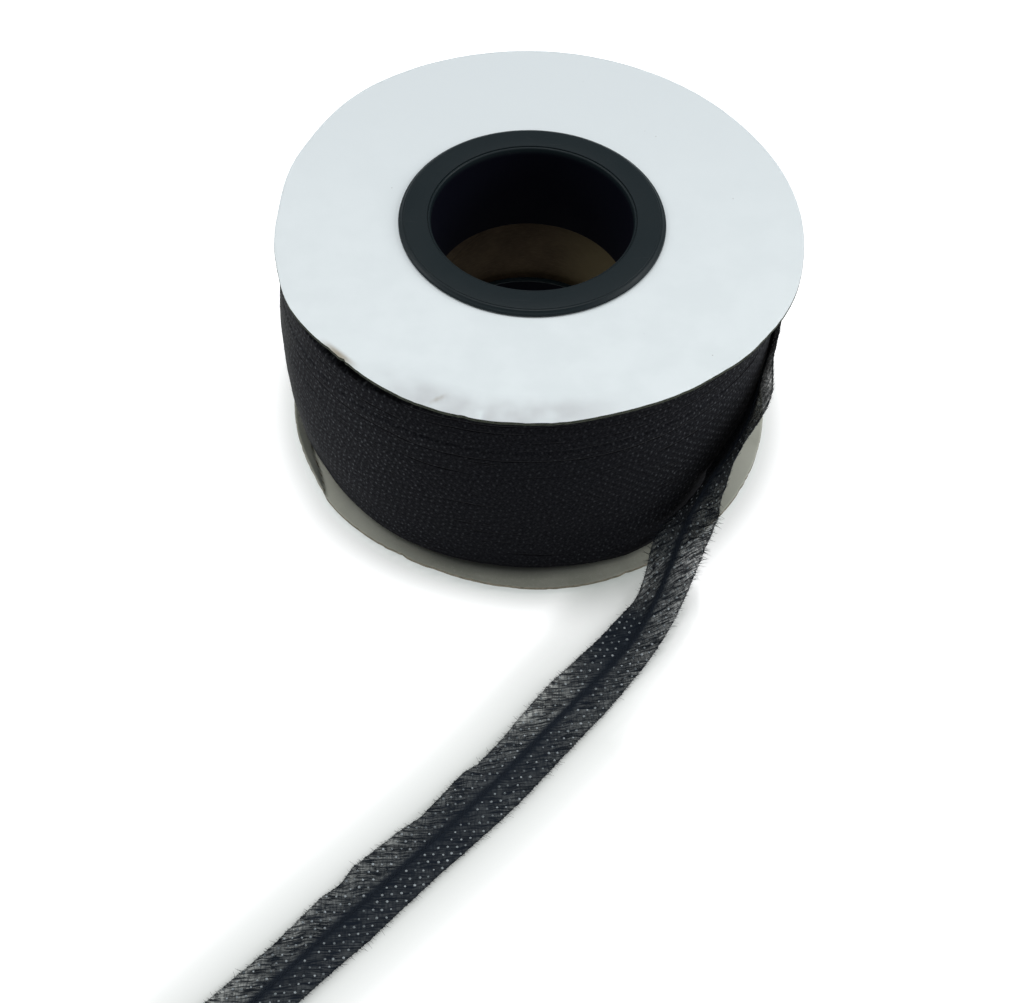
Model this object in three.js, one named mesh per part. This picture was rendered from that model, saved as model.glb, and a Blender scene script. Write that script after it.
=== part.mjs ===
// Spool of narrow bias tape, standing on end, with its loose end led off over the lower disc.
// Millimetres, +Z up. Pieces are laid out around the spool's own axis, with X to the right and Y to the
// back, and the whole group is then moved so that the origin is at the bottom centre of its bounding box.

import * as THREE from 'three';

// Driving dimensions.
const TAPE_THICK = 1;          // the sheet with its fuzz and glue dots
const GAP = 0.3;               // clearance between pieces that touch
const FLANGE_SPAN = 52.6;      // outer face to outer face of the two board discs
const BOARD_THICK = 0.8;
const BOARD_HOLE = 22.2;       // radius
const COLLAR_RADIUS = 26.5;
const COLLAR_THICK = 1;
const COLLAR_BEVEL = 0.6;      // height of the bevelled edge
const COLLAR_SLOPE = 1.1;      // how far the bevel goes in
const BORE_RADIUS = 20;
const LIP_CHAMFER = 1.2;
const SLEEVE_WALL = 1.5;
const TOP_SLEEVE = 20;         // length of the upper sleeve below its collar
const BOTTOM_SLEEVE = 16;      // length of the lower sleeve above its collar
const CORE_WALL = 2.4;
const OUT_OF_ROUND = 0.4;      // half the difference between the winding's wide and narrow ways
const OFF_CENTRE = 1.0;        // how far the winding bulges towards -X

// Facets.
const ROUND_STEPS = 96;
const TAIL_STEPS = 96;

// Heights of the stack, from the surface up.
const LOWER_BOARD = COLLAR_THICK + GAP;
const LOWER_BOARD_TOP = LOWER_BOARD + BOARD_THICK;
const UPPER_BOARD_TOP = LOWER_BOARD + FLANGE_SPAN;
const UPPER_BOARD = UPPER_BOARD_TOP - BOARD_THICK;
const CORE_BOTTOM = LOWER_BOARD_TOP + GAP;
const CORE_TOP = UPPER_BOARD - GAP;
const SPOOL_TOP = UPPER_BOARD_TOP + GAP + COLLAR_THICK;
const CORE_INNER = BORE_RADIUS + SLEEVE_WALL + GAP;
const CORE_OUTER = CORE_INNER + CORE_WALL;
const ROLL_INNER = CORE_OUTER + GAP;

// Rims of the two discs, which are worn and not quite round: radius at each bearing, in degrees from +X
// towards +Y.
const TOP_RIM = [
  { bearing: 0, radius: 53.7 },
  { bearing: 40, radius: 53.0 },
  { bearing: 90, radius: 53.2 },
  { bearing: 130, radius: 53.0 },
  { bearing: 160, radius: 51.2 },
  { bearing: 180, radius: 50.4 },
  { bearing: 195, radius: 50.6 },
  { bearing: 212, radius: 52.0 },
  { bearing: 228, radius: 51.8 },
  { bearing: 250, radius: 52.7 },
  { bearing: 272, radius: 52.7 },
  { bearing: 290, radius: 52.1 },
  { bearing: 310, radius: 52.6 },
  { bearing: 340, radius: 54.0 },
];
const BOTTOM_RIM = [
  { bearing: 0, radius: 51.5 },
  { bearing: 45, radius: 52.0 },
  { bearing: 90, radius: 52.3 },
  { bearing: 135, radius: 52.0 },
  { bearing: 165, radius: 51.0 },
  { bearing: 185, radius: 50.2 },
  { bearing: 205, radius: 50.2 },
  { bearing: 222, radius: 51.0 },
  { bearing: 248, radius: 51.2 },
  { bearing: 282, radius: 52.4 },
  { bearing: 320, radius: 51.6 },
];

// The winding's outer turns, from the bottom up. Each row is one band between two turn edges, and its
// radius at the lower and upper edge.
const TURNS = [
  { low: 2.4, high: 5.0, lowRadius: 47.2, highRadius: 48.4 },
  { low: 5.0, high: 13.5, lowRadius: 48.4, highRadius: 49.2 },
  { low: 13.5, high: 22.0, lowRadius: 48.8, highRadius: 49.5 },
  { low: 22.0, high: 31.5, lowRadius: 49.1, highRadius: 49.6 },
  { low: 31.5, high: 40.8, lowRadius: 49.2, highRadius: 49.7 },
  { low: 40.8, high: 50.2, lowRadius: 49.2, highRadius: 49.3 },
  { low: 50.2, high: 52.4, lowRadius: 49.3, highRadius: 48.6 },
];

// The loose end's route: the middle of the tape, its lean from standing on edge (0) to lying flat (90), and
// its width, which is less where a crease down the middle draws it in. It peels off the winding, falls
// outwards as it crosses the lower disc's rim, and lies on the surface.
const TAIL_ROUTE = [
  { x: 30.2, y: 40.4, height: 34.0, lean: 0, width: 12 },
  { x: 38.6, y: 32.2, height: 33.0, lean: 0, width: 12 },
  { x: 45.2, y: 22.0, height: 31.8, lean: 0, width: 12 },
  { x: 49.3, y: 9.2, height: 30.4, lean: 1, width: 12 },
  { x: 50.3, y: -6.0, height: 28.6, lean: 5, width: 11.8 },
  { x: 47.4, y: -20.2, height: 25.8, lean: 14, width: 11.4 },
  { x: 42.0, y: -31.6, height: 20.8, lean: 21, width: 11.2 },
  { x: 36.9, y: -38.9, height: 15.4, lean: 36, width: 11.0 },
  { x: 32.4, y: -44.6, height: 9.7, lean: 61, width: 10.6 },
  { x: 29.8, y: -50.2, height: 5.8, lean: 80, width: 10.2 },
  { x: 26.8, y: -57.0, height: 2.2, lean: 87, width: 10.2 },
  { x: 23.6, y: -62.4, height: 0.9, lean: 89, width: 10.4 },
  { x: 19.6, y: -67.8, height: 0.5, lean: 90, width: 10.8 },
  { x: 7.2, y: -83.2, height: 0.5, lean: 90, width: 11.6 },
  { x: -6.4, y: -99.9, height: 0.5, lean: 90, width: 12 },
  { x: -19.1, y: -114.0, height: 0.5, lean: 90, width: 12 },
  { x: -32.0, y: -127.9, height: 0.5, lean: 90, width: 12 },
  { x: -42.2, y: -139.2, height: 0.5, lean: 90, width: 12 },
  { x: -50.4, y: -148.6, height: 0.5, lean: 90, width: 12 },
];

const WHITE_BOARD = new THREE.MeshStandardMaterial({ color: 0xdfe5e8, roughness: 0.7, metalness: 0 });
const GREY_BOARD = new THREE.MeshStandardMaterial({ color: 0xa9a79a, roughness: 0.85, metalness: 0 });
const KRAFT_BOARD = new THREE.MeshStandardMaterial({ color: 0x6f5a3c, roughness: 0.9, metalness: 0 });
const BLACK_PLASTIC = new THREE.MeshStandardMaterial({ color: 0x1d2124, roughness: 0.4, metalness: 0 });
const BLACK_GAUZE = new THREE.MeshStandardMaterial({ color: 0x17171a, roughness: 0.95, metalness: 0 });

const group = new THREE.Group();

function addPiece(name, geometry, material) {
  const piece = new THREE.Mesh(geometry, material);
  piece.name = name;
  group.add(piece);
  return piece;
}

// A ring turned about the spool's axis. Its section is a closed outline of [radius, height] corners.
function turnedRing(section) {
  const points = [...section, section[0]].map(([radius, height]) => new THREE.Vector2(radius, height));
  const ring = new THREE.LatheGeometry(points, ROUND_STEPS);
  ring.rotateX(Math.PI / 2);
  return ring;
}

// The radius of a worn rim at a bearing, eased between the table's rows and closed round the circle.
function rimRadius(rim, bearing) {
  const next = rim.findIndex((row) => row.bearing > bearing);
  const after = next < 0 ? { bearing: 360, radius: rim[0].radius } : rim[next];
  const before = next < 0 ? rim[rim.length - 1] : rim[next - 1];
  const share = (bearing - before.bearing) / (after.bearing - before.bearing);
  return THREE.MathUtils.lerp(before.radius, after.radius, THREE.MathUtils.smoothstep(share, 0, 1));
}

// A board disc with the given rim and a round hole, lying at the given height.
function boardDisc(rim, height) {
  const edge = [];
  for (let step = 0; step < ROUND_STEPS; step += 1) {
    const bearing = (360 * step) / ROUND_STEPS;
    const radius = rimRadius(rim, bearing);
    const angle = THREE.MathUtils.degToRad(bearing);
    edge.push(new THREE.Vector2(radius * Math.cos(angle), radius * Math.sin(angle)));
  }
  const outline = new THREE.Shape(edge);
  const hole = new THREE.Path();
  hole.absarc(0, 0, BOARD_HOLE, 0, 2 * Math.PI, true);
  outline.holes.push(hole);
  const disc = new THREE.ExtrudeGeometry(outline, {
    depth: BOARD_THICK,
    bevelEnabled: false,
    curveSegments: ROUND_STEPS / 2,
  });
  disc.translate(0, 0, height);
  return disc;
}

// A flanged bushing standing on its collar at height 0: a bevelled collar with a chamfered mouth, and a
// sleeve.
function bushing(sleeveLength) {
  const sleeveTop = COLLAR_THICK + sleeveLength;
  const sleeveRadius = BORE_RADIUS + SLEEVE_WALL;
  return turnedRing([
    [BORE_RADIUS + LIP_CHAMFER / 2, 0],
    [COLLAR_RADIUS - COLLAR_SLOPE, 0],
    [COLLAR_RADIUS, COLLAR_BEVEL],
    [COLLAR_RADIUS, COLLAR_THICK],
    [sleeveRadius, COLLAR_THICK],
    [sleeveRadius, sleeveTop],
    [BORE_RADIUS, sleeveTop],
    [BORE_RADIUS, LIP_CHAMFER],
  ]);
}

// The wound tape: the turned form of its outer turns, pressed slightly out of round.
function woundTape() {
  const outside = TURNS.flatMap((turn) => [[turn.lowRadius, turn.low], [turn.highRadius, turn.high]]);
  const edges = outside.filter((point, index) => !index || point.join() !== outside[index - 1].join());
  const low = TURNS[0].low;
  const high = TURNS[TURNS.length - 1].high;
  const roll = turnedRing([[ROLL_INNER, low], ...edges, [ROLL_INNER, high]]);
  const place = roll.getAttribute('position');
  for (let index = 0; index < place.count; index += 1) {
    const radius = Math.hypot(place.getX(index), place.getY(index));
    if (radius > ROLL_INNER + 1) {
      const bearing = Math.atan2(place.getY(index), place.getX(index));
      const pressed = radius + OUT_OF_ROUND * Math.cos(2 * bearing) - OFF_CENTRE * Math.cos(bearing);
      place.setX(index, pressed * Math.cos(bearing));
      place.setY(index, pressed * Math.sin(bearing));
    }
  }
  return roll;
}

// The loose end: a flat strip bent along its route and turned about it by the lean.
function looseEnd() {
  const middles = TAIL_ROUTE.map((row) => new THREE.Vector3(row.x, row.y, row.height));
  const spine = new THREE.CatmullRomCurve3(middles);
  const twist = new THREE.SplineCurve(TAIL_ROUTE.map((row) => new THREE.Vector2(row.width, row.lean)));
  const strip = new THREE.BoxGeometry(1, TAPE_THICK, 1, 2, 1, TAIL_STEPS);
  const place = strip.getAttribute('position');
  for (let index = 0; index < place.count; index += 1) {
    const along = THREE.MathUtils.clamp(place.getZ(index) + 0.5, 0, 1);
    const [width, leanDegrees] = twist.getPoint(along).toArray();
    const lean = THREE.MathUtils.degToRad(leanDegrees);
    const travel = spine.getTangent(along);
    const outward = new THREE.Vector3(-travel.y, travel.x, 0).normalize();
    const upward = new THREE.Vector3().crossVectors(travel, outward);
    const across = upward.clone().multiplyScalar(Math.cos(lean)).addScaledVector(outward, Math.sin(lean));
    const through = new THREE.Vector3().crossVectors(travel, across).normalize();
    const point = spine.getPoint(along);
    point.addScaledVector(across, width * place.getX(index));
    point.addScaledVector(through, place.getY(index));
    place.setXYZ(index, point.x, point.y, Math.max(point.z, 0));
  }
  return strip;
}

addPiece('bottom_bushing', bushing(BOTTOM_SLEEVE), BLACK_PLASTIC);
addPiece('bottom_flange', boardDisc(BOTTOM_RIM, LOWER_BOARD), GREY_BOARD);
addPiece('core_tube', turnedRing([
  [CORE_INNER, CORE_BOTTOM],
  [CORE_OUTER, CORE_BOTTOM],
  [CORE_OUTER, CORE_TOP],
  [CORE_INNER, CORE_TOP],
]), KRAFT_BOARD);
addPiece('tape_roll', woundTape(), BLACK_GAUZE);
addPiece('tape_tail', looseEnd(), BLACK_GAUZE);
addPiece('top_flange', boardDisc(TOP_RIM, UPPER_BOARD), WHITE_BOARD);
const topBushing = addPiece('top_bushing', bushing(TOP_SLEEVE), BLACK_PLASTIC);
topBushing.rotation.x = Math.PI;
topBushing.position.z = SPOOL_TOP;

// Origin at the bottom centre of everything.
group.updateMatrixWorld(true);
const extent = new THREE.Box3().setFromObject(group, true);
const middle = extent.getCenter(new THREE.Vector3());
group.position.set(-middle.x, -middle.y, -extent.min.z);

export default group;
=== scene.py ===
# A roll of narrow black fusible bias tape: the tape is wound between two board discs on a paper tube with
# a plastic bushing in each end, and its loose end lies in front. Metres, +Z up.
import functools
import math
import random

import bmesh
import bpy
import numpy as np
from mathutils import Matrix, Vector, noise


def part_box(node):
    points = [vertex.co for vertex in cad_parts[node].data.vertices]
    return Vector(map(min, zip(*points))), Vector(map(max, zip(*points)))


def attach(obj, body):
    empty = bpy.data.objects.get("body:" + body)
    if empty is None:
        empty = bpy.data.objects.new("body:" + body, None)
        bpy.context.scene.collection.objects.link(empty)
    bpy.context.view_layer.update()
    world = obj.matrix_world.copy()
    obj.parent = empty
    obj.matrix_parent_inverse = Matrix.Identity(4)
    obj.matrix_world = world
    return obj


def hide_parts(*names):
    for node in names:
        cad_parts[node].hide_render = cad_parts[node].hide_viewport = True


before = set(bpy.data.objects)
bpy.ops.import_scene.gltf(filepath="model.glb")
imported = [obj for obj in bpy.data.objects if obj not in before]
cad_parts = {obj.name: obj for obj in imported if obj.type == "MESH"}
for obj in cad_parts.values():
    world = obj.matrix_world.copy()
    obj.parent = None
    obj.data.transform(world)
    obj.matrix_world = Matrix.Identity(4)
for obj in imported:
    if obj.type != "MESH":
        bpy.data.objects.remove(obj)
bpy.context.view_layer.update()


# ---- The view and the light ------------------------------------------------------------------------------
# The spool stands under a broad soft lamp, with two weaker ones at its left and right. The lens looks down
# on it from the front.
MM = 0.001

collar_low, collar_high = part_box("top_bushing")
AXIS = Vector(((collar_low.x + collar_high.x) / 2, (collar_low.y + collar_high.y) / 2, 0.0))
DISC_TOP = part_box("top_flange")[1].z

EYE_DISTANCE = 360.45 * MM
EYE_ANGLE = math.radians(43.12)
AIM_SIDE = math.radians(0.33)
AIM_DOWN = math.radians(-8.88)
TILT = math.radians(1.99)

lens = bpy.data.cameras.new("lens")
lens.sensor_width = 36.0
lens.lens = 63.28
lens.clip_start = 0.01


def in_scene(name, data):
    """A new object of the scene."""
    made = bpy.data.objects.new(name, data)
    bpy.context.scene.collection.objects.link(made)
    return made


eye = in_scene("eye", lens)
bpy.context.scene.camera = eye
eye_place = AXIS + Vector((0, 0, DISC_TOP))
eye_place += EYE_DISTANCE * Vector((0, -math.cos(EYE_ANGLE), math.sin(EYE_ANGLE)))
eye.matrix_world = (
    Matrix.Translation(eye_place)
    @ Matrix.Rotation(math.pi / 2 - EYE_ANGLE, 4, "X")
    @ Matrix.Rotation(AIM_SIDE, 4, "Y")
    @ Matrix.Rotation(AIM_DOWN, 4, "X")
    @ Matrix.Rotation(TILT, 4, "Z")
)

bpy.context.scene.view_settings.view_transform = "Standard"
sky = bpy.data.worlds.new("sky")
bpy.context.scene.world = sky
sky.use_nodes = True
sky.node_tree.nodes["Background"].inputs["Color"].default_value = (0.94, 0.97, 1.0, 1.0)
sky.node_tree.nodes["Background"].inputs["Strength"].default_value = 0.3


def soft_lamp(name, place, size, power):
    """A square lamp that faces the spool."""
    lamp = bpy.data.lights.new(name, "AREA")
    lamp.shape = "SQUARE"
    lamp.size = size
    lamp.energy = power
    made = in_scene(name, lamp)
    made.location = place
    made.rotation_mode = "QUATERNION"
    made.rotation_quaternion = (AXIS - Vector(place)).to_track_quat("-Z", "Y")


soft_lamp("top_lamp", (-0.05, 0.18, 1.15), 0.9, 5.7)
soft_lamp("left_lamp", (-0.8, 0.2, 0.65), 0.5, 2.25)
soft_lamp("right_lamp", (0.85, 0.05, 0.5), 0.5, 3.7)


# ---- Lower bushing ---------------------------------------------------------------------------------------
# A moulded black plastic bushing, pushed into the lower end of the paper tube until its collar meets the
# disc. Its collar is bevelled outside, and its bore is rounded at the mouth.
def new_material(name, colour, roughness, specular=0.5):
    """A material, its node tree and its shader, with the shader's plain values set."""
    made = bpy.data.materials.new(name)
    made.use_nodes = True
    shader = made.node_tree.nodes["Principled BSDF"]
    shader.inputs["Base Color"].default_value = (*colour, 1.0)
    shader.inputs["Roughness"].default_value = roughness
    shader.inputs["Specular IOR Level"].default_value = specular
    return made, made.node_tree, shader


def section_face(shape, corners):
    """The face of a section with its corners at (radius, height)."""
    return shape.faces.new([shape.verts.new((radius, 0.0, height)) for radius, height in corners])


def spin_round(shape, steps):
    """Turns a section once about the spool's axis."""
    bmesh.ops.spin(shape, geom=list(shape.verts) + list(shape.edges), axis=(0, 0, 1), cent=(0, 0, 0),
                   angle=2 * math.pi, steps=steps, use_merge=True)


def turned(corners, rounding, steps):
    """A bmesh ring turned about the spool's axis from a closed section of (radius, height) corners, each
    rounded by its own amount. A corner with no rounding stays sharp."""
    shape = bmesh.new()
    face = section_face(shape, corners)
    for corner, amount in zip(list(face.verts), rounding):
        if amount:
            bmesh.ops.bevel(shape, geom=[corner], affect="VERTICES", offset=amount, segments=4,
                            profile=0.5, material=-1)
    bmesh.ops.delete(shape, geom=list(shape.faces), context="FACES_ONLY")
    spin_round(shape, steps)
    bmesh.ops.translate(shape, verts=list(shape.verts), vec=AXIS)
    return shape


def fitted(name, shape, materials, slot, *nodes, sharp=40):
    """Makes the bmesh a smooth piece of the spool that stands for the CAD nodes."""
    bmesh.ops.recalc_face_normals(shape, faces=list(shape.faces))
    mesh = bpy.data.meshes.new(name)
    shape.to_mesh(mesh)
    shape.free()
    for material in materials:
        mesh.materials.append(material)
    mesh.shade_smooth()
    mesh.set_sharp_from_angle(angle=math.radians(sharp))
    made = in_scene(name, mesh)
    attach(made, "root")
    if nodes:
        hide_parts(*nodes)
    return made


def put(tree, kind, inputs, **settings):
    """A shader node with its settings, and its inputs set to values or linked to sockets."""
    made = tree.nodes.new("ShaderNode" + kind)
    for key, value in settings.items():
        setattr(made, key, value)
    for key, value in inputs.items():
        if isinstance(value, bpy.types.NodeSocket):
            tree.links.new(value, made.inputs[key])
        else:
            made.inputs[key].default_value = value
    return made


def mapped(tree, vector, **changes):
    """A vector that is moved (Location), turned (Rotation) or stretched (Scale)."""
    return put(tree, "Mapping", {"Vector": vector, **changes}).outputs["Vector"]


def object_place(tree, scale=(1.0, 1.0, 1.0)):
    """Object coordinates from the spool's axis, stretched by scale."""
    place = put(tree, "TexCoord", {}).outputs["Object"]
    return mapped(tree, mapped(tree, place, Location=-AXIS), Scale=scale)


def length_of(tree, vector):
    """The length of a vector."""
    return put(tree, "VectorMath", {0: vector}, operation="LENGTH").outputs["Value"]


def eased(tree, value, low, high, bottom=0.0, top=1.0):
    """A value between low and high as a smooth step from bottom to top."""
    made = put(tree, "MapRange",
               {"Value": value, "From Min": low, "From Max": high, "To Min": bottom, "To Max": top},
               interpolation_type="SMOOTHSTEP")
    return made.outputs["Result"]


def sums(tree, operation, first, second=0.0):
    """One arithmetic step."""
    return put(tree, "Math", {0: first, 1: second}, operation=operation).outputs[0]


def times(tree, first, second):
    """One multiplication."""
    return sums(tree, "MULTIPLY", first, second)


def plus(tree, first, second):
    """One addition."""
    return sums(tree, "ADD", first, second)


def minus(tree, first, second):
    """One subtraction."""
    return sums(tree, "SUBTRACT", first, second)


def clouded(tree, place, scale, detail=2.0):
    """Cloudy noise from 0 to 1."""
    return put(tree, "TexNoise", {"Vector": place, "Scale": scale, "Detail": detail}).outputs["Fac"]


def specked(tree, place, scale, radii, gathered, gathering, detail=2.0):
    """1 on small round specks, fading between two radii, where noise of its own scale gathers them."""
    near = put(tree, "TexVoronoi", {"Vector": place, "Scale": scale}).outputs["Distance"]
    speck = eased(tree, near, *radii, 1.0, 0.0)
    return times(tree, speck, eased(tree, clouded(tree, place, gathered, detail), *gathering))


def mixed(tree, share, first, second):
    """Two colours mixed."""
    first = first if isinstance(first, bpy.types.NodeSocket) else (*first, 1.0)
    second = second if isinstance(second, bpy.types.NodeSocket) else (*second, 1.0)
    return put(tree, "Mix", {0: share, 6: first, 7: second}, data_type="RGBA").outputs[2]


def bumped(tree, shader, height, distance, strength=1.0):
    """Bump on the shader's normal, with distance in metres."""
    made = put(tree, "Bump", {"Height": height, "Distance": distance, "Strength": strength})
    tree.links.new(made.outputs["Normal"], shader.inputs["Normal"])


def charcoal_plastic():
    """Satin black moulded plastic with a fine grain, a few scratches and specks, and a matt bore with
    painted shade.
    """
    charcoal = (0.0075, 0.0142, 0.0172)
    made, tree, shader = new_material("charcoal_plastic", charcoal, 0.4, 0.2)
    place = object_place(tree)
    radius = length_of(tree, mapped(tree, place, Scale=(1.0, 1.0, 0.0)))
    bore = eased(tree, radius, 20.0 * MM, 20.16 * MM, 1.0, 0.0)
    clouds = clouded(tree, place, 90.0, 3.0)
    grain = clouded(tree, place, 3800.0)
    long_way = object_place(tree, (0.25, 1.0, 1.0))
    scratches = put(tree, "TexVoronoi", {"Vector": long_way, "Scale": 260.0},
                    feature="DISTANCE_TO_EDGE").outputs["Distance"]
    scratch = eased(tree, scratches, 0.0, 0.012, 1.0, 0.0)
    rare = eased(tree, clouded(tree, place, 160.0), 0.56, 0.66)
    scratch = times(tree, scratch, rare)
    speck = specked(tree, place, 420.0, (0.035, 0.06), 210.0, (0.6, 0.66), 1.0)
    worn = mixed(tree, times(tree, scratch, 0.35), charcoal, (0.04, 0.045, 0.05))
    worn = mixed(tree, times(tree, speck, 0.7), worn, (0.16, 0.16, 0.15))
    # The bore is painted darker and bluer than the rest, a painted shade inside it.
    worn = mixed(tree, times(tree, bore, 0.85), worn, (0.0021, 0.0014, 0.0068))
    tree.links.new(worn, shader.inputs["Base Color"])
    satin = eased(tree, clouds, 0.3, 0.7, 0.38, 0.5)
    tree.links.new(plus(tree, satin, times(tree, bore, 0.3)), shader.inputs["Roughness"])
    tree.links.new(minus(tree, 0.2, times(tree, bore, 0.15)), shader.inputs["Specular IOR Level"])
    bumped(tree, shader, plus(tree, grain, times(tree, scratch, -0.6)), 0.012 * MM)
    return made


CHARCOAL_PLASTIC = charcoal_plastic()


def bushing(name, node, collar_face, inward, sleeve_end):
    """A bushing whose collar lies at collar_face, with its sleeve going inward (+1 is up) to sleeve_end."""
    # Radius, depth below the collar's face and rounding of each corner, in millimetres.
    corners = [
        (20.78, 0.0, 0.04),
        (25.35, 0.0, 0.08),
        (25.42, 0.16, 0.0),
        (25.75, 0.2, 0.06),
        (25.82, 0.32, 0.0),
        (26.4, 0.62, 0.12),
        (26.5, 1.0, 0.0),
        (21.5, 1.0, 0.0),
        (21.5, None, 0.3),
        (20.0, None, 0.3),
        (20.0, 1.5, 0.6),
        (20.25, 0.2, 0.25),
        (20.62, 0.14, 0.08),
        (20.67, 0.32, 0.0),
        (20.74, 0.32, 0.0),
    ]
    section = []
    for radius, depth, _ in corners:
        section.append((radius * MM, sleeve_end if depth is None else collar_face + inward * depth * MM))
    rounding = [amount * MM for _, _, amount in corners]
    shape = turned(section, rounding, steps=192)
    return fitted(name, shape, [CHARCOAL_PLASTIC], "black_plastic", node, sharp=55)


bushing("lower_collar", "bottom_bushing", 0.0, 1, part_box("bottom_bushing")[1].z)


# ---- Lower disc ------------------------------------------------------------------------------------------
# Grey chipboard 0.8 mm thick, punched out with a die, with white paper glued to its outer side. Its rim is
# nicked and tan where the fibres show, and it is creased at the left. The board is painted with shade at
# the front and on the creased sliver, and painted lighter at its sides.
BOARD_HOLE = 22.2 * MM
BOARD_RADIUS = 52.0 * MM
DISC_STEPS = 480


def clipped(value):
    """A value kept between 0 and 1."""
    return min(1.0, max(0.0, value))


def polar(place):
    """How far a place is from the axis and its bearing in radians, both seen from above."""
    return math.hypot(place.x, place.y), math.atan2(place.y, place.x)


def ring_place(radius, bearing, height=0.0):
    """The place at a radius, a bearing and a height."""
    return Vector((radius * math.cos(bearing), radius * math.sin(bearing), height))


def read_off(table, value, column=1):
    """What a table's column says at a value of its first column, between its rows too."""
    rows = np.array(table, float)
    return np.interp(value, rows[:, 0], rows[:, column])


def worn_rim(node):
    """A CAD disc's outer radius in metres as a function of the bearing in radians."""
    places = np.array([v.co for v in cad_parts[node].data.vertices]) - np.array(AXIS)
    radii = np.hypot(places[:, 0], places[:, 1])
    outer = radii > 0.8 * radii.max()
    bearings = np.arctan2(places[outer, 1], places[outer, 0])
    order = np.argsort(bearings)

    def radius(bearing):
        return float(np.interp(bearing, bearings[order], radii[outer][order], period=2 * math.pi))

    return radius


def window(bearing, middle, half):
    """1 at the middle bearing, falling smoothly to 0 at half a width away, all in degrees."""
    away = abs((math.degrees(bearing) - middle + 180) % 360 - 180) / half
    return 0.0 if away >= 1 else (1 - away * away) ** 2


def board_disc(node, lip):
    """A board disc in a CAD node's place: rings of faces for dents, a rim rounded by lip, a round hole."""
    low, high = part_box(node)
    shape = bmesh.new()
    corners = [(BOARD_HOLE, low.z), (BOARD_RADIUS, low.z), (BOARD_RADIUS, high.z), (BOARD_HOLE, high.z)]
    face = section_face(shape, corners)
    for corner in list(face.verts)[1:3]:
        bmesh.ops.bevel(shape, geom=[corner], affect="VERTICES", offset=lip, segments=2, profile=0.5,
                        material=-1)
    bmesh.ops.delete(shape, geom=list(shape.faces), context="FACES_ONLY")
    long_edges = [e for e in shape.edges if e.calc_length() > 20 * MM]
    bmesh.ops.subdivide_edges(shape, edges=long_edges, cuts=26)
    near_rim = [e for e in shape.edges if min(v.co.x for v in e.verts) > 46 * MM]
    near_rim = [e for e in near_rim if e.calc_length() > 0.8 * MM]
    near_rim = [e for e in near_rim if abs(e.verts[0].co.z - e.verts[1].co.z) < 0.01 * MM]
    bmesh.ops.subdivide_edges(shape, edges=near_rim, cuts=2)
    spin_round(shape, DISC_STEPS)
    return shape


def shape_board(shape, rim, ragged, dent):
    """Moves a disc's vertices out to its worn rim, with ragged fibres and dents, and on to the axis."""
    for vertex in shape.verts:
        radius, bearing = polar(vertex.co)
        share = (radius - BOARD_HOLE) / (BOARD_RADIUS - BOARD_HOLE)
        reach = rim(bearing) - ragged(bearing, vertex.co)
        radius = BOARD_HOLE + share * (reach - BOARD_HOLE)
        height = vertex.co.z + dent(bearing, radius, share)
        vertex.co = AXIS + ring_place(radius, bearing, height)
    bmesh.ops.recalc_face_normals(shape, faces=list(shape.faces))


def face_board(shape, up_face, down_face, rim_face):
    """Gives a disc's upper side, lower side and cut edges their material numbers."""
    for face in shape.faces:
        facing = face.normal.z
        face.material_index = up_face if facing > 0.6 else down_face if facing < -0.6 else rim_face


def rim_noise(bearing, scale, seed):
    """Smooth noise round a rim, from -1 to 1."""
    return noise.noise(Vector((scale * math.cos(bearing), scale * math.sin(bearing), seed)))


def one_axis(tree, vector, axis):
    """One coordinate of a vector."""
    return put(tree, "SeparateXYZ", {"Vector": vector}).outputs[axis]


def painted(tree, name):
    """What is stored on the mesh's vertices under a name."""
    return put(tree, "Attribute", {}, attribute_name=name).outputs["Fac"]


def board_paper():
    """White coated paper glued on board: faintly mottled and cockled, with painted shade on its crumples
    and towards its back.
    """
    made, tree, shader = new_material("white_paper", (0.77, 0.83, 0.85), 0.62, 0.3)
    place = object_place(tree)
    mottle = clouded(tree, place, 140.0, 5.0)
    fibre = clouded(tree, place, 2600.0, 3.0)
    crumple_shade = painted(tree, "crumple_shade")
    # Painted shade on the crumpled paper, in patches.
    fold_shade = clouded(tree, place, 190.0, 1.5)
    fold_shade = times(tree, eased(tree, fold_shade, 0.25, 0.75, 0.25, 1.0), crumple_shade)
    colour = mixed(tree, eased(tree, mottle, 0.3, 0.7), (0.765, 0.825, 0.84), (0.80, 0.86, 0.875))
    # The paper is painted darker towards the back, a painted shade.
    back = one_axis(tree, place, "Y")
    colour = mixed(tree, eased(tree, back, -50 * MM, 55 * MM), colour, (0.715, 0.77, 0.79))
    colour = mixed(tree, times(tree, fold_shade, 0.8), colour, (0.52, 0.54, 0.555))
    stain = painted(tree, "stain")
    colour = mixed(tree, stain, colour, (0.3, 0.25, 0.17))
    speck = times(tree, specked(tree, place, 330.0, (0.03, 0.055), 85.0, (0.6, 0.66)), 0.6)
    colour = mixed(tree, speck, colour, (0.22, 0.21, 0.2))
    tree.links.new(colour, shader.inputs["Base Color"])
    cockle = clouded(tree, place, 260.0)
    height = plus(tree, times(tree, fibre, 0.05), cockle)
    bumped(tree, shader, height, 0.05 * MM)
    return made


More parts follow.
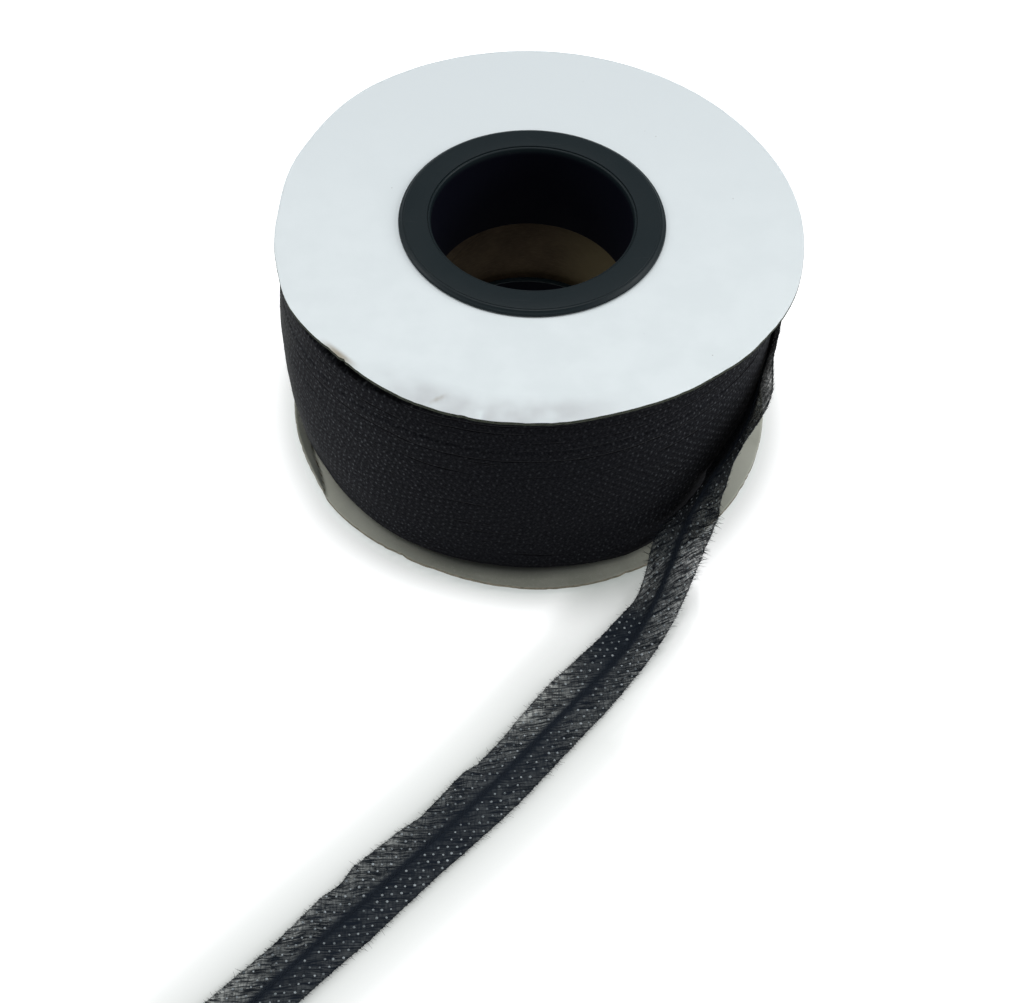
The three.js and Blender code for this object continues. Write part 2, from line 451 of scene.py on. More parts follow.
def chipboard():
    """Bare grey chipboard: pressed waste paper with short fibres and flecks, with painted light and painted
    shade.
    """
    made, tree, shader = new_material("grey_chipboard", (0.38, 0.385, 0.32), 0.85, 0.15)
    place = object_place(tree)
    clouds = clouded(tree, place, 120.0, 6.0)
    fibre = put(tree, "TexNoise",
                {"Vector": place, "Scale": 1900.0, "Detail": 4.0, "Distortion": 0.8}).outputs["Fac"]
    colour = mixed(tree, eased(tree, clouds, 0.3, 0.7), (0.37, 0.378, 0.312), (0.45, 0.455, 0.38))
    colour = mixed(tree, times(tree, eased(tree, fibre, 0.5, 0.72), 0.35), colour, (0.56, 0.56, 0.49))
    fleck = specked(tree, place, 900.0, (0.06, 0.12), 500.0, (0.56, 0.64))
    colour = mixed(tree, times(tree, fleck, 0.5), colour, (0.12, 0.1, 0.08))
    # Painted light: the board is painted paler in patches where the mesh marks it.
    painted_board_light = painted(tree, "painted_board_light")
    colour = mixed(tree, times(tree, painted_board_light, eased(tree, clouds, 0.2, 0.6, 0.7, 1.0)), colour,
                   (0.66, 0.67, 0.58))
    # Painted shade: the board is painted darker where the mesh marks it.
    painted_board_shade = painted(tree, "painted_board_shade")
    colour = mixed(tree, times(tree, painted_board_shade, 0.85), colour, (0.06, 0.065, 0.062))
    tree.links.new(colour, shader.inputs["Base Color"])
    bumped(tree, shader, fibre, 0.03 * MM)
    return made


def board_edge(name, dark, light):
    """The cut edge of the board: fibres in thin layers."""
    made, tree, shader = new_material(name, dark, 0.9, 0.1)
    layered = object_place(tree, (1.0, 1.0, 9.0))
    layers = clouded(tree, layered, 900.0, 4.0)
    tree.links.new(mixed(tree, eased(tree, layers, 0.35, 0.65), dark, light), shader.inputs["Base Color"])
    bumped(tree, shader, layers, 0.06 * MM)
    return made


WHITE_PAPER = board_paper()
GREY_CHIPBOARD = chipboard()
TAN_EDGE = board_edge("tan_edge", (0.13, 0.12, 0.09), (0.30, 0.27, 0.21))

# The inner edge of the lower disc's bent sliver: (bearing in degrees, radius in millimetres).
TORN_INNER = [(-179, 50.5), (-172, 48.0), (-159, 48.5), (-151, 49.1), (-147, 50.0), (-143, 51.5)]
lower_rim = worn_rim("bottom_flange")
lower_disc_shape = board_disc("bottom_flange", 0.18 * MM)


def side_swell(bearing):
    """How much fuller the lower disc is at its two sides, in millimetres."""
    return 0.65 * clipped((abs(math.cos(bearing)) - 0.5) / 0.25)


def lower_nicks(bearing, place):
    """How far the lower rim is chipped away at the front, or is fuller at the sides."""
    fine = max(0.0, rim_noise(bearing, 38, 3.1)) ** 2
    coarse = max(0.0, rim_noise(bearing, 11, 7.7) - 0.15)
    fibres = 0.05 * abs(noise.noise(Vector((bearing * 300, place.z * 4000, 0))))
    return (0.5 * fine + 0.3 * coarse + fibres - side_swell(bearing)) * MM


def lower_dent(bearing, radius, share):
    """The lower disc's crease at the left, and the slight wave of its rim."""
    outer = max(0.0, (share - 0.45) / 0.55) ** 2
    lift = 0.7 * torn_corner(bearing, radius) * outer
    return (0.12 * rim_noise(bearing, 2.2, 1.0) * outer + lift) * MM


def torn_corner(bearing, radius):
    """1 on the bent sliver of the rim at the left, which narrows to a point at the front."""
    degrees = math.degrees(bearing)
    if not TORN_INNER[0][0] < degrees < TORN_INNER[-1][0]:
        return 0.0
    inner = read_off(TORN_INNER, degrees)
    return clipped((radius / MM - inner) / 0.35)


shape_board(lower_disc_shape, lower_rim, lower_nicks, lower_dent)
face_board(lower_disc_shape, 0, 1, 2)
# Painted shade at the front under the winding and on the bent sliver; painted light at the sides and along
# the bend.
painted_board_shade_layer = lower_disc_shape.verts.layers.float.new("painted_board_shade")
painted_board_light_layer = lower_disc_shape.verts.layers.float.new("painted_board_light")
for vertex in lower_disc_shape.verts:
    place = vertex.co - AXIS
    radius, bearing = polar(place)
    inside = min(1.0, max(0.0, (lower_rim(bearing) - radius) / MM + side_swell(bearing) - 0.1) / 0.3)
    torn = torn_corner(bearing, radius) * inside * (0.82 + 0.14 * window(bearing, -147, 9))
    near = clipped((50.4 - radius / MM) / 2.2)
    under = window(bearing, -92, 74) * (0.54 + 0.38 * near)
    vertex[painted_board_shade_layer] = max(torn, under)
    bent = window(bearing, -150, 14) * (1 - torn) * clipped(radius / MM - 46.5)
    left_side = 0.65 * window(bearing, -136, 30) * (1 - torn)
    vertex[painted_board_light_layer] = max(0.95 * window(bearing, -15, 60), 0.7 * bent, left_side)
fitted("lower_disc", lower_disc_shape, [GREY_CHIPBOARD, WHITE_PAPER, TAN_EDGE], "grey_board",
       "bottom_flange")


# ---- Paper tube ------------------------------------------------------------------------------------------
# The core: strips of brown kraft paper wound slantwise and glued into a tube 2.4 mm thick. Its inside shows
# between the two bushings.
tube_low, tube_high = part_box("core_tube")
TUBE_OUTER = (tube_high.x - tube_low.x) / 2
TUBE_WALL = 2.4 * MM
STRIP_RISE = 62.0 * MM


def kraft():
    """Brown kraft paper with a slanting butt seam, soft fibres and blotches, and painted light making it
    paler on one side.
    """
    made, tree, shader = new_material("brown_kraft", (0.16, 0.115, 0.065), 0.8, 0.2)
    place = object_place(tree)
    parts = put(tree, "SeparateXYZ", {"Vector": place}).outputs
    angle = sums(tree, "ARCTAN2", parts["Y"], parts["X"])
    rise = times(tree, angle, STRIP_RISE / (2 * math.pi))
    strip = times(tree, plus(tree, parts["Z"], rise), 1 / (STRIP_RISE / 2))
    strip = sums(tree, "FRACT", plus(tree, strip, 0.3))
    across = sums(tree, "ABSOLUTE", minus(tree, strip, 0.5))
    seam = eased(tree, across, 0.488, 0.5)
    fibre = clouded(tree, object_place(tree, (1.0, 1.0, 4.0)), 700.0, 5.0)
    blotch = clouded(tree, place, 150.0, 4.0)
    colour = mixed(tree, eased(tree, blotch, 0.3, 0.7), (0.07, 0.047, 0.027), (0.105, 0.074, 0.043))
    colour = mixed(tree, times(tree, eased(tree, fibre, 0.4, 0.75), 0.25), colour, (0.18, 0.14, 0.085))
    # Painted light: the tube is painted paler towards +X.
    lit_side = times(tree, eased(tree, parts["X"], 2.0 * MM, 17.0 * MM), 0.75)
    colour = mixed(tree, lit_side, colour, (0.26, 0.21, 0.11))
    colour = mixed(tree, times(tree, seam, 0.4), colour, (0.03, 0.02, 0.01))
    tree.links.new(colour, shader.inputs["Base Color"])
    bumped(tree, shader, minus(tree, fibre, times(tree, seam, 0.8)), 0.05 * MM)
    return made


tube_shape = turned(
    [
        (TUBE_OUTER - TUBE_WALL, tube_low.z),
        (TUBE_OUTER, tube_low.z),
        (TUBE_OUTER, tube_high.z),
        (TUBE_OUTER - TUBE_WALL, tube_high.z),
    ],
    [0.2 * MM] * 4,
    steps=160,
)
fitted("paper_tube", tube_shape, [kraft()], "kraft_board", "core_tube")


# ---- Winding ---------------------------------------------------------------------------------------------
# About a hundred metres of the tape, wound turn over turn into what looks like one block of cloth. The last
# turn's upper edge shows as a fine line right round, and the block is slacker under the upper disc. Shade
# is painted on it under the upper disc, under its ragged top and beside the loose end, with painted light
# on its flanks and a painted sheen at its left.
roll_low, roll_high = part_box("tape_roll")
ROLL_INNER = 24.5 * MM
ROLL_OUTER = 49.5 * MM
OUT_OF_ROUND = 0.4 * MM
OFF_CENTRE = 1.0 * MM
FULLER = 1.25 * MM
# How far the winding bulges at the left: (height, bulge) in millimetres.
LEFT_BULGE = [(10, 0.5), (22, 0.8), (32, 0.7), (38, 0.15), (42, -0.4), (50, -0.6)]
# How far its foot is pushed out: (bearing in degrees, distance in millimetres).
FOOT = [(-178, 0.0), (-162, -0.8), (-150, -1.2), (-134, -0.6), (-120, 0.0), (-96, 0.15), (-80, 0.6),
        (-64, 1.6), (-52, 1.0), (-36, 0.0)]
LAST_TURN_TOP = 40.8 * MM
ROLL_STEPS = 336
# Where the outer turns are slack and sit lower: the middle bearing and half the width, in degrees.
SLACK_SIDE = (-142, 74)
# The radius in millimetres on which lengths round the winding are measured, for its map of the tape.
MAP_RADIUS = 49.0

# The winding's outline: (height, radius) in millimetres.
ROLL_OUTLINE = [(2.4, 47.3), (3.4, 48.1), (5.0, 48.5), (13.5, 49.0), (22.0, 49.3), (31.5, 49.5),
                (40.8, 49.5), (50.0, 49.3), (51.2, 48.9), (52.4, 48.2)]


def turn_edges():
    """The heights of the turns' edges up the winding, which are uneven, with the last turn's among them."""
    random.seed(21)
    edges = [roll_low.z]
    while edges[-1] < roll_high.z - 3.4 * MM:
        edges.append(edges[-1] + random.uniform(1.6, 3.0) * MM)
    edges = [e for e in edges if abs(e - LAST_TURN_TOP) > 1.2 * MM]
    return sorted(edges + [LAST_TURN_TOP]) + [roll_high.z]


TURN_EDGES = turn_edges()


def turn_step(height):
    """How far a place on the winding dips where two turns meet, deepest under the last turn's edge."""
    step = 0.0
    for edge in TURN_EDGES[1:-1]:
        depth = 0.16 if edge == LAST_TURN_TOP else 0.05 if edge < LAST_TURN_TOP else 0.09
        step += depth * math.exp(-(((height - edge - 0.15 * MM) / (0.22 * MM)) ** 2))
    if height > LAST_TURN_TOP:
        step += 0.1
    return step * MM


def hollow(bearing, height):
    """1 above the ragged upper edge of the outer turns, which sit lower at the front left."""
    ragged = 50.6 - 2.9 * window(bearing, *SLACK_SIDE) + 0.5 * rim_noise(bearing, 22, 2.0)
    ragged += 0.3 * rim_noise(bearing, 70, 4.0)
    return clipped((height / MM - ragged) / 0.5)


# The loose end lies close to the winding along these (bearing in degrees, height in millimetres).
CLOSE_LINE = [(-66, 3), (-57, 6), (-49, 9), (-43, 13), (-38, 18), (-30, 21.5), (-18, 22.5), (10, 26)]
CLOSE_RADIUS = 49.3
# How strong the painted shade is there: (bearing in degrees, strength).
CLOSE_SHADE = [(-40, 1.0), (-15, 0.75), (8, 0.0)]
close_bearings = np.linspace(CLOSE_LINE[0][0], CLOSE_LINE[-1][0], 80)
close_heights = read_off(CLOSE_LINE, close_bearings)
close_lengths = np.radians(close_bearings) * CLOSE_RADIUS


def painted_shade_at(bearing, height):
    """How deep the painted shade is at a place on the winding: under the ragged edge, or close to the loose
    end.
    """
    lengths_away = close_lengths - bearing * CLOSE_RADIUS
    away = float(np.min(np.hypot(lengths_away, close_heights - height / MM)))
    fading = float(read_off(CLOSE_SHADE, math.degrees(bearing)))
    return max(hollow(bearing, height) * 0.9, fading * math.exp(-((away / 2.3) ** 2)))


def pressed_radius(radius, bearing, height):
    """A radius of the winding: out of round, off centre, fuller where the tape leaves, slack at the top."""
    radius += OUT_OF_ROUND * math.cos(2 * bearing) - OFF_CENTRE * math.cos(bearing)
    high_up = clipped((height / MM - 30) / 15)
    radius += FULLER * (1 + 0.3 * high_up) * window(bearing, -4, 55)
    bulge = read_off(LEFT_BULGE, height / MM)
    radius += float(bulge) * MM * window(bearing, -174, 45)
    low_down = clipped((15 - height / MM) / 10)
    foot = read_off(FOOT, math.degrees(bearing))
    radius += float(foot) * MM * low_down
    place = ring_place(radius, bearing, height)
    slow = noise.noise(place * 60)
    quick = noise.noise(Vector((place.x * 260, place.y * 260, place.z * 700)))
    slack = hollow(bearing, height) * (0.3 + 1.8 * window(bearing, *SLACK_SIDE))
    return radius + (0.14 * slow + 0.05 * quick - slack) * MM


def tape_map(shape, name, place_of):
    """Gives the bmesh a UV map in millimetres of tape: across, along."""
    layer = shape.loops.layers.uv.new(name)
    for face in shape.faces:
        for loop, place in zip(face.loops, place_of(face)):
            loop[layer].uv = place


def on_roll(face):
    """Where a face's corners are on the wound tape: height, and length round the winding."""
    middle = face.calc_center_median() - AXIS
    about = math.atan2(middle.y, middle.x)
    places = []
    for vertex in face.verts:
        place = vertex.co - AXIS
        turn = math.atan2(place.y, place.x) - about
        turn = (turn + math.pi) % (2 * math.pi) - math.pi
        places.append((place.z / MM, (about + turn) * MAP_RADIUS))
    return places


# How strong the painted sheen is at the winding's left: (height in millimetres, strength).
PAINTED_SHEEN_BY_HEIGHT = [(4, 1.5), (20, 1.3), (36, 1.0), (50, 0.0)]
winding_shape = bmesh.new()
corners = [
    (ROLL_INNER, roll_low.z),
    (ROLL_INNER, roll_high.z),
    (ROLL_OUTER, roll_high.z),
    (ROLL_OUTER, roll_low.z),
]
face = section_face(winding_shape, corners)
outer_edge = [edge for edge in face.edges if min(v.co.x for v in edge.verts) > 40 * MM]
bmesh.ops.delete(winding_shape, geom=[face], context="FACES_ONLY")
bmesh.ops.subdivide_edges(winding_shape, edges=outer_edge, cuts=139)
spin_round(winding_shape, ROLL_STEPS)
painted_shade_layer = winding_shape.verts.layers.float.new("painted_shade")
painted_sheen_layer = winding_shape.verts.layers.float.new("painted_sheen")
for vertex in winding_shape.verts:
    radius, bearing = polar(vertex.co)
    height = vertex.co.z
    if radius > ROLL_INNER + 1 * MM:
        radius = float(read_off(ROLL_OUTLINE, height / MM)) * MM
        sway = 0.45 * rim_noise(bearing, 1.3, height * 40) + 0.12 * rim_noise(bearing, 6, height * 300)
        radius = pressed_radius(radius, bearing, height) - turn_step(height + sway * MM)
        # Painted shade under the upper disc, deeper towards the top.
        shade = 0.3 * clipped((height / MM - 41) / 9)
        vertex[painted_shade_layer] = max(painted_shade_at(bearing, height), shade)
        # A painted sheen on the winding's left flank, strongest low down.
        lower_down = float(read_off(PAINTED_SHEEN_BY_HEIGHT, height / MM))
        spread = (25 if bearing < 0 else 45) + 9 * rim_noise(bearing, 3, height * 110)
        vertex[painted_sheen_layer] = window(bearing, -175, spread) * lower_down
    vertex.co = AXIS + ring_place(radius, bearing, height)
bmesh.ops.recalc_face_normals(winding_shape, faces=list(winding_shape.faces))
tape_map(winding_shape, "tape", on_roll)

BIAS = math.radians(47)
DOT_PITCH = 1.7
ROW_PITCH = 1.5
# The heights in millimetres of the dark lines between the upper turns.
DARK_SEAMS = (33.5, 38.2, 43.4, 45.9, 48.0)


def larger(tree, first, second):
    """The larger of two values."""
    return sums(tree, "MAXIMUM", first, second)


def stretched(tree, vector, scale, detail=2.0):
    """Noise from 0 to 1 in a flat map, with its own scale along each direction."""
    return clouded(tree, mapped(tree, vector, Scale=(*scale, 1.0)), 1.0, detail)


def slanted(tree, flat_map, angle):
    """A flat map turned by an angle."""
    return mapped(tree, flat_map, Rotation=(0.0, 0.0, angle))


def vectors(tree, operation, first, second):
    """One step of arithmetic with vectors."""
    return put(tree, "VectorMath", {0: first, 1: second}, operation=operation).outputs["Vector"]


def glue_rows(tree, tape, turn, spread):
    """Glue dots in staggered rows along the threads, 1 on a dot, moved on by spread from turn to turn."""
    shift = {"X": times(tree, turn, spread), "Y": times(tree, turn, spread * 0.73), "Z": 0.0}
    shift = put(tree, "CombineXYZ", shift).outputs["Vector"]
    threads = slanted(tree, tape, BIAS)
    moved = mapped(tree, threads, Location=shift, Scale=(1 / DOT_PITCH, 1 / ROW_PITCH, 1.0))
    parts = put(tree, "SeparateXYZ", {"Vector": moved}).outputs
    row = sums(tree, "FLOOR", plus(tree, parts["Y"], 0.4))
    staggered = plus(tree, parts["X"], times(tree, row, 0.5))
    lattice = put(tree, "CombineXYZ", {"X": staggered, "Y": parts["Y"], "Z": 0.0}).outputs["Vector"]
    near = put(tree, "TexVoronoi", {"Vector": lattice, "Scale": 1.0, "Randomness": 0.3},
               voronoi_dimensions="2D")
    away = vectors(tree, "SUBTRACT", near.outputs["Position"], lattice)
    away = slanted(tree, mapped(tree, away, Scale=(DOT_PITCH, ROW_PITCH, 0.0)), -BIAS)
    distance = length_of(tree, mapped(tree, away, Scale=(0.78, 1.0, 0.0)))
    bright = put(tree, "SeparateColor", {"Color": near.outputs["Color"]}).outputs[0]
    return times(tree, eased(tree, distance, 0.08, 0.34, 1.0, 0.0),
                 plus(tree, 0.35, times(tree, bright, 0.65)))


def bias_grain(tree, bias):
    """The uneven grain of close-wound threads."""
    return times(tree, stretched(tree, bias, (1.6, 3.4)), stretched(tree, bias, (3.2, 1.4)))


def wound_colour(tree, grain, flank_light, dots):
    """The colour of wound gauze: lighter on its grain, the more so where painted light falls on its flanks,
    and on its dots.
    """
    flank_light = mixed(tree, flank_light, (0.0112, 0.0119, 0.0143), (0.02, 0.021, 0.0245))
    colour = mixed(tree, eased(tree, grain, 0.12, 0.42), (0.003, 0.0032, 0.0045), flank_light)
    return mixed(tree, times(tree, dots, 0.9), colour, (0.063, 0.067, 0.074))


def wound_gauze():
    """Near-black gauze in many turns: bias threads, glue dots and a few dark seams between the turns, with
    painted shade, painted light on its flanks and a painted sheen at its left.
    """
    made, tree, shader = new_material("wound_gauze", (0.006, 0.006, 0.0075), 0.95, 0.03)
    tape = put(tree, "UVMap", {}, uv_map="tape").outputs["UV"]
    bias = slanted(tree, tape, BIAS)
    up = one_axis(tree, tape, "X")
    sway = times(tree, stretched(tree, tape, (0.0, 0.02), 1.0), 3.0)
    turn = sums(tree, "FLOOR", times(tree, plus(tree, up, sway), 0.155))
    under = sums(tree, "FLOOR", times(tree, minus(tree, up, sway), 0.21))
    dots = larger(tree, glue_rows(tree, tape, turn, 5.37),
                  times(tree, glue_rows(tree, tape, under, 2.91), 0.4))
    grain = bias_grain(tree, bias)
    seams = stretched(tree, tape, (1.3, 0.03), 2.0)
    patches = stretched(tree, tape, (0.09, 0.06))
    seams = times(tree, eased(tree, seams, 0.6, 0.68), eased(tree, patches, 0.45, 0.62))
    dots = times(tree, dots, eased(tree, patches, 0.2, 0.6, 0.6, 1.0))
    # Painted light: the dots and grain are painted brighter towards the winding's left and right than at
    # its front.
    side = one_axis(tree, object_place(tree), "X")
    side = larger(tree, times(tree, side, -1.0), times(tree, side, 0.85))
    dots = times(tree, dots, eased(tree, side, 8.0 * MM, 42.0 * MM, 0.35, 1.25))
    colour = wound_colour(tree, grain, eased(tree, side, 15.0 * MM, 45.0 * MM), dots)
    drift = times(tree, minus(tree, stretched(tree, tape, (0.0, 0.035), 3.0), 0.5), 2.6)
    for edge in DARK_SEAMS:
        away = sums(tree, "ABSOLUTE", minus(tree, plus(tree, up, drift), edge))
        line = times(tree, eased(tree, away, 0.06, 0.24, 1.0, 0.0),
                     eased(tree, stretched(tree, tape, (0.3, 0.04), 1.0), 0.42, 0.6))
        seams = larger(tree, seams, line)
    # Painted shade, stored on the mesh, darkens it together with the seams.
    painted_shade = painted(tree, "painted_shade")
    painted_sheen = painted(tree, "painted_sheen")
    seams = times(tree, seams, eased(tree, painted_sheen, 0.0, 1.2, 1.0, 0.35))
    dark = times(tree, larger(tree, seams, painted_shade), 0.92)
    # Painted sheen: the left flank is painted paler, in patches.
    painted_sheen = times(tree, painted_sheen, eased(tree, patches, 0.3, 0.6, 0.6, 1.0))
    painted_sheen = times(tree, painted_sheen, eased(tree, grain, 0.05, 0.4, 0.3, 0.95))
    sheen_colour = mixed(tree, dots, (0.058, 0.06, 0.058), (0.1, 0.104, 0.108))
    colour = mixed(tree, painted_sheen, colour, sheen_colour)
    colour = mixed(tree, dark, colour, (0.001, 0.001, 0.0018))
    tree.links.new(colour, shader.inputs["Base Color"])
    height = minus(tree, plus(tree, grain, times(tree, dots, 0.5)), seams)
    bumped(tree, shader, height, 0.12 * MM)
    shader.inputs["Sheen Weight"].default_value = 0.04
    shader.inputs["Sheen Roughness"].default_value = 0.35
    return made


fitted("winding", winding_shape, [wound_gauze()], "black_gauze", "tape_roll", sharp=70)


# ---- Loose end -------------------------------------------------------------------------------------------
# The end of the same tape: thin semi-sheer gauze cut on the bias, 12 mm wide. It peels off the winding,
# falls over the lower disc's rim and lies on the surface, creased along its middle. It is slack and open
# in places, mostly at its left, where its edge is pulled in and out.
#
# Its route goes by the crease down its middle, in millimetres from the axis and the surface. Each half has
# its own lean, from standing on edge (0) to lying flat (90).
ROUTE = [
    # x, y, height, left lean, right lean
    (29.1, 38.8, 34.2, 0, 0),
    (37.4, 31.2, 33.2, 0, 0),
    (44.0, 21.4, 32.2, 0, 2),
    (48.4, 9.2, 31.0, 8, 6),
    (50.5, -5.0, 29.7, 26, 10),
    (47.6, -16.2, 28.0, 26, 20),
    (45.3, -25.2, 27.0, 26, 31),
    (41.8, -31.8, 23.8, 36, 30),
    (38.0, -36.2, 20.3, 37, 54),
    (35.5, -38.9, 16.5, 30, 72),
    (33.5, -41.8, 13.4, 40, 74),
    (32.0, -44.9, 10.8, 66, 74),
    (30.7, -48.2, 8.1, 84, 76),
    (29.0, -51.9, 5.6, 68, 86),
    (26.7, -56.8, 3.2, 66, 92),
    (23.6, -62.4, 1.2, 92, 87),
    (19.6, -67.8, 0.5, 92, 87),
    (7.2, -83.2, 0.35, 93, 87),
    (-6.4, -99.9, 0.35, 93, 87),
    (-19.1, -114.0, 0.35, 93, 87),
    (-32.0, -127.9, 0.35, 93, 87),
    (-42.2, -139.2, 0.35, 93, 87),
    (-50.4, -148.6, 0.35, 93, 87),
]
TAIL_WIDTH = 12.0
HALF_WIDTH = TAIL_WIDTH / 2
TAPE_THICK = 0.16

# How far the tape reaches to each side of its middle, and how open it is there, along the tape.
EDGES = [
    # along, left reach, right reach
    (0, 6.0, 6.0),
    (62, 5.9, 6.3),
    (69, 5.9, 6.7),
    (77, 5.9, 6.0),
    (97, 5.5, 6.2),
    (108, 4.7, 5.4),
    (114, 4.3, 5.2),
    (122, 5.1, 5.1),
    (134, 5.8, 5.7),
    (142, 6.1, 6.1),
    (152, 5.6, 6.1),
    (158, 5.0, 6.3),
    (165.5, 4.8, 6.4),
    (168.5, 5.6, 6.3),
    (176, 5.2, 6.0),
    (181, 4.9, 6.0),
    (187, 5.7, 5.8),
    (197, 6.2, 6.0),
    (200.5, 5.3, 6.1),
    (205, 5.8, 6.2),
    (217, 5.1, 6.0),
    (228, 5.5, 6.0),
    (236, 5.8, 6.0),
]
OPENNESS = [
    # along, left, right
    (0, 0.1, 0.1),
    (56, 0.1, 0.2),
    (63, 0.1, 0.6),
    (70, 0.1, 0.9),
    (75, 0.1, 0.45),
    (86, 0.12, 0.35),
    (92, 0.2, 0.65),
    (100, 0.5, 0.74),
    (104, 0.55, 0.9),
    (108, 0.65, 0.76),
    (112, 0.8, 0.58),
    (116, 0.36, 0.76),
    (120, 0.05, 0.67),
    (128, 0.06, 0.57),
    (135, 0.34, 0.47),
    (140, 0.82, 0.42),
    (146, 1.2, 0.52),
    (153, 1.0, 0.33),
    (158, 0.6, 0.2),
    (166, 0.36, 0.3),
    (181, 0.4, 0.12),
    (188, 0.78, 0.16),
    (197, 0.66, 0.17),
    (205, 0.5, 0.16),
    (212, 1.0, 0.24),
    (218, 0.5, 0.2),
    (224, 1.1, 0.3),
    (240, 1.1, 0.3),
]
route_rows = np.array(ROUTE, float)
route_knots = np.concatenate([[0.0],
                              np.cumsum(np.linalg.norm(np.diff(route_rows[:, :3], axis=0), axis=1))])
TAIL_LENGTH = float(route_knots[-1])


def by_side(table, across, along):
    """A table's value at a place on the tape, from its left or its right column."""
    return float(read_off(table, along, 1 if across < 0 else 2))


def route_row(distance):
    """The route's row at a distance in millimetres, on a smooth curve through its rows."""
    distance = min(max(distance, 0.0), TAIL_LENGTH)
    before = min(int(np.searchsorted(route_knots, distance, side="right")) - 1, len(route_knots) - 2)
    span = route_knots[before + 1] - route_knots[before]
    share = (distance - route_knots[before]) / span

    def slope(knot):
        low, high = max(knot - 1, 0), min(knot + 1, len(route_knots) - 1)
        return (route_rows[high] - route_rows[low]) / (route_knots[high] - route_knots[low])

    squared, cubed = share**2, share**3
    return (
        (2 * cubed - 3 * squared + 1) * route_rows[before]
        + (cubed - 2 * squared + share) * span * slope(before)
        + (3 * squared - 2 * cubed) * route_rows[before + 1]
        + (cubed - squared) * span * slope(before + 1)
    )


@functools.lru_cache(maxsize=None)
def tape_frame(distance):
    """The tape's crease at a distance, and for each half the way across and the way it faces."""
    row = route_row(distance)
    ahead = route_row(distance + 0.5)[:3] - route_row(distance - 0.5)[:3]
    travel = Vector(ahead).normalized()
    outward = Vector((-travel.y, travel.x, 0.0)).normalized()
    upward = travel.cross(outward)
    halves = []
    for lean in row[3:5]:
        across = upward * math.cos(math.radians(lean)) + outward * math.sin(math.radians(lean))
        halves.append((across, travel.cross(across).normalized()))
    return Vector(row[:3]), halves[0], halves[1]


def tape_side(across, along):
    """The way across and the way the tape faces at a place, turning smoothly over the crease."""
    _, left, right = tape_frame(along)
    share = clipped(across / 1.2 + 0.5)
    return left[0].lerp(right[0], share).normalized(), left[1].lerp(right[1], share).normalized()


def threadwise(across, along):
    """A place on the tape in the cloth's own directions: along its threads, and across them."""
    return (
        across * math.cos(BIAS) - along * math.sin(BIAS),
        across * math.sin(BIAS) + along * math.cos(BIAS),
    )


def tape_point(across, along, lift=0.0):
    """A point of the tape in metres: across and along it in millimetres, and lifted off its face."""
    sideways, facing = tape_side(across, along)
    side = abs(across) / HALF_WIDTH
    reach = by_side(EDGES, across, along) / HALF_WIDTH
    slack = by_side(OPENNESS, across, along) * side
    with_threads, over_threads = threadwise(across, along)
    rib = noise.noise(Vector((with_threads * 0.14, over_threads * 0.8, 0.0)))
    rib += 0.5 * noise.noise(Vector((with_threads * 0.3, over_threads * 1.7, 9.0)))
    curl = 0.5 * side**2 * (0.4 + 0.8 * noise.noise(Vector((along * 0.07, across * 0.05, 2.0))))
    curl *= min(1.0, max(0.1, (along - 30) / 30))
    rise = rib * (0.05 + 0.26 * slack) + curl + lift
    place = tape_frame(along)[0] + sideways * (across * reach) + facing * rise
    radius, bearing = polar(place)
    outline = float(read_off(ROLL_OUTLINE, place.z)) + 0.14
    clear = pressed_radius(outline * MM, bearing, place.z * MM) / MM
    clear -= 0.05 * max(0.0, 4.0 - along)
    if place.z > 2.2 and radius < clear:
        place.x, place.y = place.x * clear / radius, place.y * clear / radius
    place.z = max(place.z, 0.1)
    return AXIS + place * MM


# How deep the painted shade is on the left half, where it hangs in the winding's shade, and on its very
# edge: (millimetres along, strength).
SHADED_LEFT_HALF = [(36, 0), (66, 0.45), (78, 1), (86, 1), (96, 0)]
SHADED_LEFT_EDGE = [(36, 0), (66, 0.45), (78, 1), (94, 1), (104, 0)]
SHEET_ACROSS, SHEET_ALONG = 40, 760
sheet_shape = bmesh.new()
bmesh.ops.create_grid(sheet_shape, x_segments=SHEET_ACROSS, y_segments=SHEET_ALONG, size=1.0)
sheer_layer = sheet_shape.verts.layers.float.new("sheer")
painted_shade_layer = sheet_shape.verts.layers.float.new("painted_shade")
wound_layer = sheet_shape.verts.layers.float.new("wound")


def flat_place(vertex):
    """Where a vertex of the unmoved grid is on the tape: across and along it, in millimetres."""
    return vertex.co.x * HALF_WIDTH, (1 + vertex.co.y) / 2 * TAIL_LENGTH


tape_map(sheet_shape, "tape", lambda face: [flat_place(v) for v in face.verts])
for vertex in sheet_shape.verts:
    across, along = flat_place(vertex)
    middle = clipped((abs(across) - 0.3) / 1.0)
    outer = 0.7 + 0.9 * (across / HALF_WIDTH) ** 2
    vertex[sheer_layer] = by_side(OPENNESS, across, along) * middle * outer
    vertex[wound_layer] = clipped((78 - along) / 30)
    left_shade = clipped(-across / 3) * float(read_off(SHADED_LEFT_HALF, along))
    if across < -5.2:
        left_shade = float(read_off(SHADED_LEFT_EDGE, along))
    vertex[painted_shade_layer] = left_shade
    edge = abs(across) / HALF_WIDTH
    if edge > 0.96:
        ragged = noise.noise(Vector((along * 1.5, across, 8.0)))
        ragged += 0.7 * noise.noise(Vector((along * 4.1, across, 3.0)))
        across += math.copysign(0.4 * ragged, across)
    vertex.co = tape_point(across, along)


